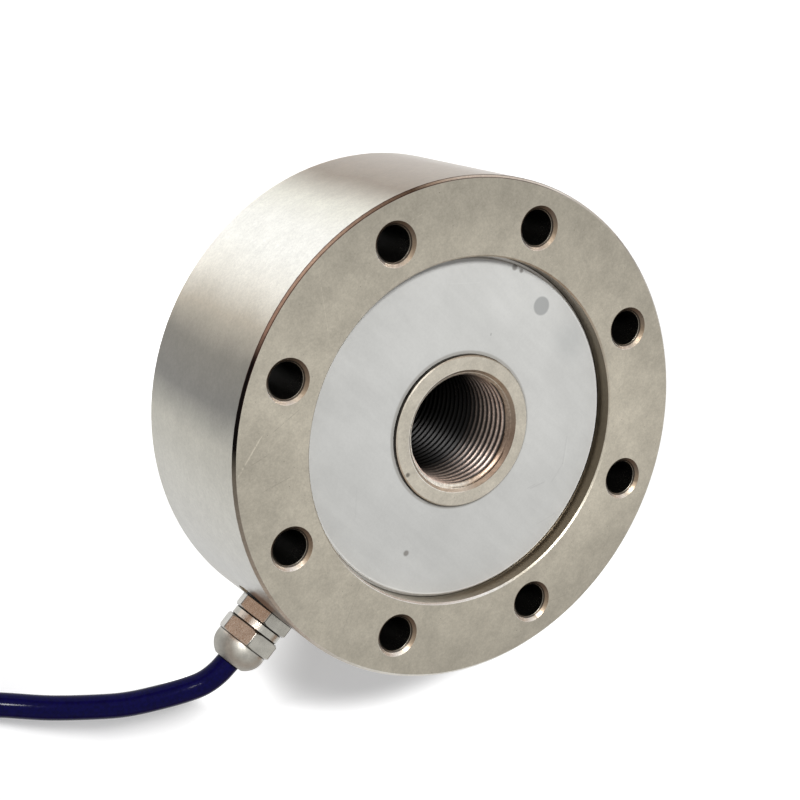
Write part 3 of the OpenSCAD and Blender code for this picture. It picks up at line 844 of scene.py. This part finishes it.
endPlan = {
    "lift": 0.6, "coreRadius": 0.8, "coreLength": 34.0, "bare": 6.0, "strandRadius": 0.5,
    "sleeveFrom": 8.4, "sleeveTo": 5.6, "sleeveRadius": 3.65, "sleeveSteps": 24, "colours": (
        ("red_core", "red_insulation", (0.42, 0.012, 0.015)),
        ("black_core", "black_insulation", (0.012, 0.012, 0.013)),
        ("green_core", "green_insulation", (0.01, 0.17, 0.045)),
        ("white_core", "white_insulation", (0.7, 0.7, 0.67))),
}


def tailAngle(length):
    return math.degrees(length / cablePlan["tailRadius"])


def tailPoint(angle, across, up):
    return coilPoint(cablePlan["tailRadius"] + across, angle, cablePlan["topHeight"] + up)


def corePoints(k):
    plan = endPlan
    wide = 2 * plan["coreRadius"]
    side = -1 if k < 2 else 1
    upper = k in (1, 2)
    low = plan["coreRadius"] - cablePlan["diameter"] / 2
    sleeveEnd = cablePlan["tailTo"] - tailAngle(plan["sleeveTo"])
    start = cablePlan["tailTo"] - tailAngle(0.2)
    last = cablePlan["tailTo"] - tailAngle(plan["coreLength"])
    rootUp = plan["lift"] + 0.55 * wide * (1 if upper else -1)
    midUp = low + 0.2 * wide + (0.95 * wide if upper else 0)
    points = [tailPoint(a, 0.55 * wide * side, rootUp) for a in (start, sleeveEnd)]
    points.append(tailPoint(sleeveEnd - tailAngle(5), (0.6 if upper else 1.65) * wide * side, midUp))
    settled = sleeveEnd - tailAngle(11)
    for i in range(4):
        points.append(tailPoint(settled + (last - settled) * i / 3, (k - 1.5) * 1.25 * wide, low))
    return throughPoints(points, 8)


def insulationLook(name, base):
    s = Shader(name)
    fine = s.noise(2.0, 3.0, 0.6)
    tone = s.ramp(fine, 0.3, 0.7, 0.85, 1.12)
    s.set(colour=s.toned(base, tone), rough=s.ramp(fine, 0.3, 0.7, 0.3, 0.42))
    s.bump(fine, 0.00006, 0.5)
    return s


def strandLook():
    s = Shader("tinnedStrands")
    twist = Num(s, s.node("ShaderNodeTexWave", {"bands_direction": "DIAGONAL"}, {
        "Vector": s.place, "Scale": 1.6, "Distortion": 1.0}).outputs["Fac"])
    tone = s.ramp(twist, 0.2, 0.8, 0.5, 1.1)
    s.set(colour=s.toned((0.75, 0.6, 0.45), tone), metal=1.0,
          rough=s.ramp(twist, 0.2, 0.8, 0.4, 0.26))
    s.bump(twist, 0.0002, 0.8)
    return s


cordPieces = [nodes[n] for n in ("gland_gasket", "seal_insert", "clamping_cage", "coil_tie_1",
                                 "coil_tie_2")]
strands = strandLook()
for k, (node, slotName, base) in enumerate(endPlan["colours"]):
    points = corePoints(k)
    bareCount = max(2, round(len(points) * endPlan["bare"] / endPlan["coreLength"]))
    core = addTube("insulation" + str(k + 1), points[:-bareCount], endPlan["coreRadius"], 16)
    bare = addTube("strands" + str(k + 1), points[-bareCount - 2:], endPlan["strandRadius"], 12)
    paint(core, insulationLook(slotName, base))
    paint(bare, strands)
    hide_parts(node)
    for piece in (core, bare):
        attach(piece, "root")
        cordPieces.append(piece)

sleeveStart = cablePlan["tailTo"] + tailAngle(endPlan["sleeveFrom"])
sleeveStop = cablePlan["tailTo"] - tailAngle(endPlan["sleeveTo"])
steps = endPlan["sleeveSteps"]
sleevePoints = [tailPoint(sleeveStart + (sleeveStop - sleeveStart) * i / steps, 0, endPlan["lift"])
                for i in range(steps + 1)]
sleeveSwell = [0.93 + 0.07 * smoothStep(min(i, steps - i) / 3) - 0.012 * (i % 3 == 1)
               for i in range(steps + 1)]
sleeve = addTube("sleeveTube", sleevePoints, endPlan["sleeveRadius"], 28, sleeveSwell)


def sleeveLook():
    s = Shader("sleevePlastic")
    fine = s.noise(0.9, 3.0, 0.6)
    tone = s.ramp(fine, 0.3, 0.7, 0.8, 1.2)
    s.set(colour=s.toned((0.014, 0.014, 0.015), tone),
          rough=s.ramp(fine, 0.3, 0.7, 0.42, 0.58))
    s.bump(fine + s.noise(3.0, 2.0, 0.5) * 0.4, 0.0002, 0.5)
    return s


paint(sleeve, sleeveLook())
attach(sleeve, "root")
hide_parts("shrink_sleeve")
cordPieces.append(sleeve)
print("cable end built")

# the pieces that keep their CAD form


def mottled(name, base, low, high, metal=0.0, grain=1.2, spread=0.15, depth=0.0001):
    s = Shader(name)
    fine = s.noise(grain, 3.0, 0.62)
    cloud = s.noise(grain * 0.12, 2.0, 0.5)
    tone = s.ramp(fine, 0.3, 0.7, 1 - spread, 1 + spread) * s.ramp(cloud, 0.3, 0.7, 0.93, 1.05)
    s.set(colour=s.toned(base, tone), metal=metal, rough=s.ramp(fine, 0.25, 0.75, low, high))
    s.bump(fine, depth, 0.5)
    return s


gaugePlan = {"middle": 24.25, "gridHalf": 3.0}
boardPlan = {"padCount": 48, "padRadius": 34.0, "trackRadius": 27.0}


def gaugeLook():
    # foil grid on an amber carrier
    s = Shader("gaugeFoil")
    line = Num(s, s.node("ShaderNodeTexWave", {"bands_direction": "Z"}, {
        "Vector": s.place, "Scale": 0.7}).outputs["Fac"])
    half = gaugePlan["gridHalf"]
    inside = s.ramp(s.math("ABSOLUTE", s.z - gaugePlan["middle"]), half, half - 0.2)
    foil = s.ramp(line, 0.45, 0.55) * inside
    fine = s.noise(1.5, 2.0, 0.5)
    amber = s.mix(fine, (0.36, 0.16, 0.03), (0.48, 0.24, 0.05))
    s.set(colour=s.mix(foil, amber, (0.55, 0.5, 0.42)), metal=foil * 0.9,
          rough=s.ramp(fine, 0.3, 0.7, 0.25, 0.4))
    s.bump(foil, 0.0001, 0.5)
    return s


def boardLook():
    # green board with tinned pads round its middle
    s = Shader("circuitBoard")
    radius = s.math("SQRT", s.x * s.x + s.y * s.y)
    turn = s.math("ARCTAN2", s.y, s.x) * (boardPlan["padCount"] / (2 * math.pi))
    near = s.math("ABSOLUTE", turn - s.math("ROUND", turn))
    across = s.math("ABSOLUTE", radius - boardPlan["padRadius"])
    pad = s.ramp(near, 0.3, 0.24) * s.ramp(across, 1.3, 1.1)
    track = s.ramp(s.math("ABSOLUTE", radius - boardPlan["trackRadius"]), 0.5, 0.35)
    fine = s.noise(1.4, 3.0, 0.6)
    green = s.mix(fine, (0.012, 0.12, 0.045), (0.02, 0.17, 0.06))
    colour = s.mix(track * 0.6, green, (0.05, 0.3, 0.1))
    s.set(colour=s.mix(pad, colour, (0.7, 0.68, 0.62)), metal=pad,
          rough=s.ramp(fine, 0.3, 0.7, 0.3, 0.45))
    s.bump(pad + track * 0.5, 0.00008, 0.6)
    return s


def leadLook():
    # four leads in one node, told apart by where they lie across the gland's axis
    s = Shader("leadWires")
    where = s.y / 7.0 + 0.5
    colour = s.steps(where, ((0.0, (0.4, 0.015, 0.015)), (0.24, (0.4, 0.015, 0.015)),
                             (0.26, (0.014, 0.014, 0.015)), (0.49, (0.014, 0.014, 0.015)),
                             (0.51, (0.01, 0.16, 0.04)), (0.74, (0.01, 0.16, 0.04)),
                             (0.76, (0.7, 0.7, 0.66)), (1.0, (0.7, 0.7, 0.66))))
    fine = s.noise(2.0, 2.0, 0.5)
    s.set(colour=colour, rough=s.ramp(fine, 0.3, 0.7, 0.3, 0.42))
    s.bump(fine, 0.00005, 0.5)
    return s


def tieLook():
    s = Shader("tiePlastic")
    fine = s.noise(1.0, 3.0, 0.6)
    teeth = Num(s, s.node("ShaderNodeTexWave", {"bands_direction": "Z"}, {
        "Vector": s.place, "Scale": 0.35}).outputs["Fac"])
    tone = s.ramp(fine, 0.3, 0.7, 0.8, 1.25) * s.ramp(teeth, 0.2, 0.8, 0.8, 1.2)
    s.set(colour=s.toned((0.013, 0.013, 0.014), tone),
          rough=s.ramp(fine, 0.3, 0.7, 0.36, 0.5))
    s.bump(teeth + fine * 0.3, 0.0003, 0.6)
    return s


cadLooks = {
    "front_cover": mottled("coverSteel", (0.5, 0.49, 0.47), 0.3, 0.45, 1.0, 1.5, 0.08),
    "gauge_wires": mottled("enamelledCopper", (0.5, 0.16, 0.06), 0.25, 0.4, 0.9, 2.0, 0.12),
    "terminal_board": boardLook(),
    "trim_resistors": mottled("resistorCoat", (0.5, 0.36, 0.18), 0.35, 0.5, 0.0, 1.2, 0.12),
    "lead_wires": leadLook(),
    "gland_gasket": mottled("gasketRubber", (0.012, 0.012, 0.013), 0.5, 0.7, 0.0, 2.0, 0.3),
    "clamping_cage": mottled("cagePlastic", (0.62, 0.6, 0.52), 0.4, 0.5, 0.0, 1.5, 0.06),
    "coil_tie_1": tieLook(),
}
cadLooks["back_cover"] = cadLooks["front_cover"]
cadLooks["seal_insert"] = cadLooks["gland_gasket"]
cadLooks["coil_tie_2"] = cadLooks["coil_tie_1"]
gaugeShader = gaugeLook()
for k in range(8):
    cadLooks["strain_gauge_" + str(k + 1)] = gaugeShader
for name, look in cadLooks.items():
    paint(nodes[name], look)
print("CAD pieces painted")

# stage

floorPlan = {
    "half": 1.5, "drop": 0.0002,  # metres
    "paper": (0.85, 0.85, 0.85), "glow": 0.22, "besideGlow": 0.7, "pastGlow": 0.4,
    "fade": (170.0, 340.0), "card": (25.0, 45.0),  # radii in millimetres
}

floorData = bpy.data.meshes.new("floor")
half, low = floorPlan["half"], -floorPlan["drop"]
floorData.from_pydata([(-half, -half, low), (half, -half, low), (half, half, low),
                       (-half, half, low)], [], [(0, 1, 2, 3)])
floor = bpy.data.objects.new("floor", floorData)
bpy.context.scene.collection.objects.link(floor)
floor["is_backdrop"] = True


def floorPaper():
    s = Shader("floorPaper")
    white = (1.0, 1.0, 1.0)
    paper = s.node("ShaderNodeBsdfDiffuse", {}, {0: floorPlan["paper"]}).outputs[0]
    radius = s.math("SQRT", s.x * s.x + s.y * s.y)
    angle = s.math("ARCTAN2", s.y, s.x)
    # the camera sees the paper lighter beside the gland and past the shadow, and white far out
    beside = s.ramp(angle, 0.55, 0.12) * s.ramp(angle, -1.7, -1.35) * s.ramp(radius, 98.0, 92.0)
    past = s.ramp(radius, 88.0, 100.0) * s.ramp(angle, 0.3, 0.5) * s.ramp(angle, 1.9, 1.5)
    glow = s.math("MAXIMUM", beside * floorPlan["besideGlow"], past * floorPlan["pastGlow"])
    shown = s.both(paper, s.emit(white, glow + floorPlan["glow"]))
    shown = s.pick(s.ramp(radius, *floorPlan["fade"]), shown, s.emit(white, 1.0))
    # the steel's reflections see a light card round the part
    card = s.emit(white, s.ramp(radius, *floorPlan["card"], 0.0, 0.97))
    end = s.pick(s.path["Is Glossy Ray"], paper, card)
    end = s.pick(s.path["Is Camera Ray"], end, shown)
    s.plug(end, s.end.inputs["Surface"])
    return s


paint(floor, floorPaper())

roomPlan = {"fill": (0.36, 0.36, 0.365), "low": (0.42, 0.29, 0.21), "high": (0.8, 0.8, 0.79)}


def makeWorld():
    world = bpy.data.worlds.new("studio")
    bpy.context.scene.world = world
    w = Tree(world, "Generated", 1.0)
    end = w.nodes.new("ShaderNodeOutputWorld")
    room = w.mix(w.ramp(w.z, 0.3, 0.5), roomPlan["low"], roomPlan["high"])
    light = w.pick(w.path["Is Glossy Ray"], w.emit(roomPlan["fill"], 1.0), w.emit(room, 1.0))
    light = w.pick(w.path["Is Camera Ray"], light, w.emit((1.0, 1.0, 1.0), 1.0))
    w.plug(light, end.inputs["Surface"])


makeWorld()

keyLamp = {"place": (-0.263, -0.568, 0.965), "side": 0.22, "watts": 11.4}

lampData = bpy.data.lights.new("key", "AREA")
lampData.shape = "SQUARE"
lampData.size = keyLamp["side"]
lampData.energy = keyLamp["watts"]
lamp = bpy.data.objects.new("key", lampData)
lamp.location = keyLamp["place"]
lamp.rotation_euler = (-Vector(keyLamp["place"])).to_track_quat("-Z", "Y").to_euler()
bpy.context.scene.collection.objects.link(lamp)
print("stage and lights set")

for obj in nodes.values():
    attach(obj, "root")

[[c * mm for c in p] for p in cablePath]

{"load": sizeAtLoad, "finish": plain([list(v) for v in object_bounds()])}
